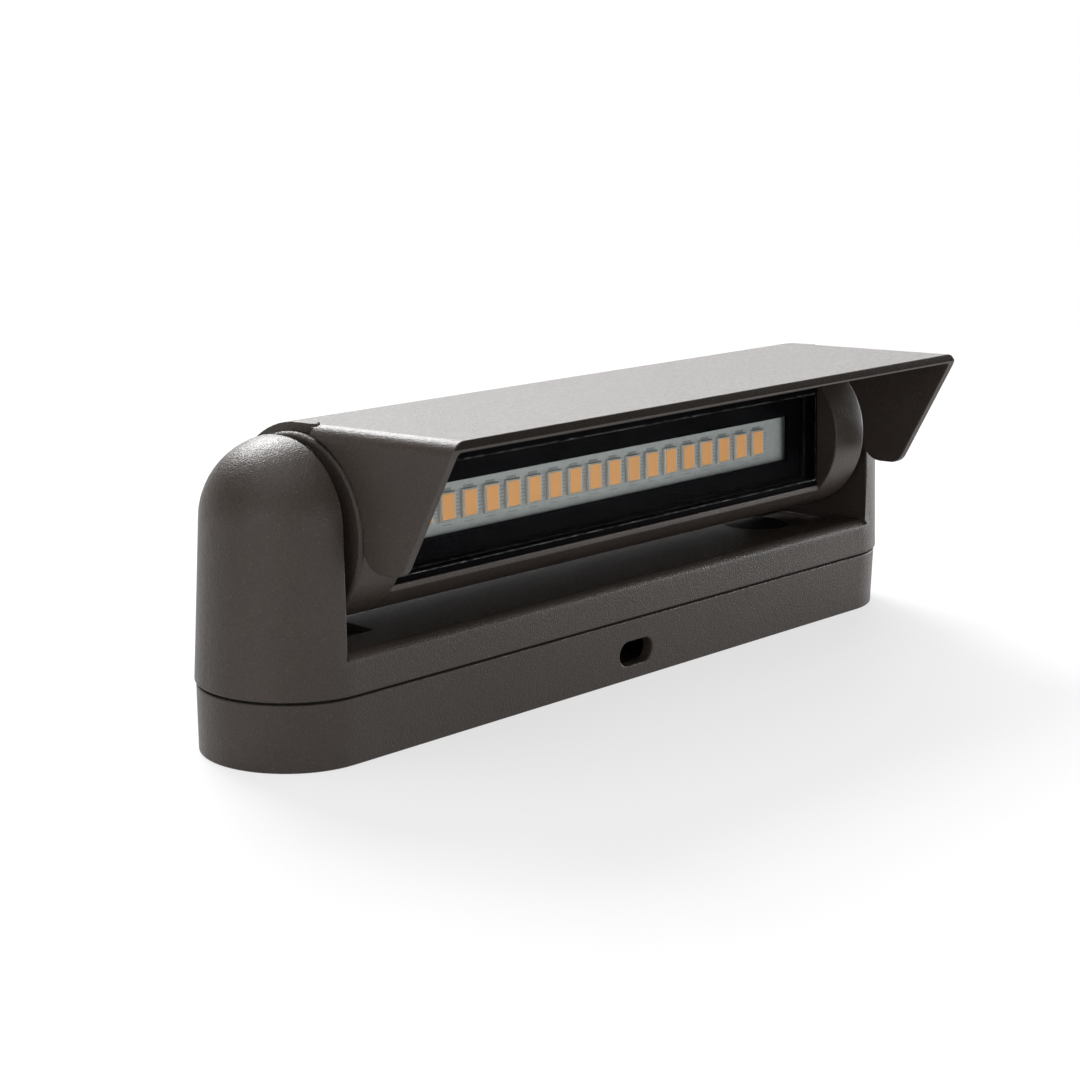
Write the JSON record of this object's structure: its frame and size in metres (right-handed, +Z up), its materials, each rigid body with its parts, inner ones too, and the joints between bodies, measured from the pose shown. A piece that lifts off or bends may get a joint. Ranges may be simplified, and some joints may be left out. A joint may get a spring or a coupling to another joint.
{
  "type": "linear path light",
  "caption": "Low linear path light: a stadium base and two-post yoke hold a tilting round lamp head with a glazed light strip under a folded hood.",
  "frame": {"origin": "centre of the flat underside of the base, on the ground", "axes": "+X along the lamp, -Y the side the light leaves from, +Z up"},
  "size_m": [0.1784, 0.0545, 0.0567],
  "materials": {
    "bronze_coat": "fine-textured dark bronze powder coat",
    "black_rubber": "matte black moulded rubber",
    "fastener_steel": "plain stainless steel",
    "clear_glass": "clear tempered glass",
    "black_plastic": "matte black",
    "nylon": "black low-friction nylon",
    "board_white": "pale grey-white solder mask",
    "package_white": "white moulded package",
    "phosphor": "orange-yellow silicone",
    "pad_grey": "soft grey thermal tape",
    "board_green": "green solder mask",
    "terminal_green": "green moulded housing",
    "component_black": "black moulded body",
    "copper_wire": "enamelled copper winding",
    "lead_sheath": "smooth black sheath"
  },
  "bodies": {
    "stand": {"base_canopy": "bronze_coat", "seam_gasket": "black_rubber", "yoke_housing": "bronze_coat", "locking_screws": "fastener_steel", "sealing_plug": "black_rubber", "driver_board": "board_green", "driver_screws": "fastener_steel", "driver_inductor": "copper_wire", "driver_capacitor": "component_black", "driver_rectifier": "component_black", "driver_chip": "component_black", "input_terminal": "terminal_green", "output_terminal": "terminal_green", "supply_lead": "lead_sheath", "left_bushing": "nylon", "right_bushing": "nylon", "spring_washers": "fastener_steel"},
    "head": {"head_extrusion": "bronze_coat", "left_end_cap": "bronze_coat", "right_end_cap": "bronze_coat", "cap_seals": "black_rubber", "cap_screws": "fastener_steel", "left_pivot_bolt": "fastener_steel", "right_pivot_bolt": "fastener_steel", "pivot_nuts": "fastener_steel", "lens_glass": "clear_glass", "lens_gasket": "black_rubber", "board_bezel": "black_plastic", "led_board": "board_white", "thermal_pad": "pad_grey", "led_packages": "package_white", "led_phosphors": "phosphor", "head_lead": "lead_sheath", "hood": "bronze_coat", "hood_screws": "fastener_steel"}
  },
  "joints": [
    {"name": "head_tilt", "type": "hinge", "parent": "stand", "child": "head", "pos_m": [0, 0, 0.0375], "axis": [1, 0, 0], "range_deg": [-90, 35]}
  ]
}
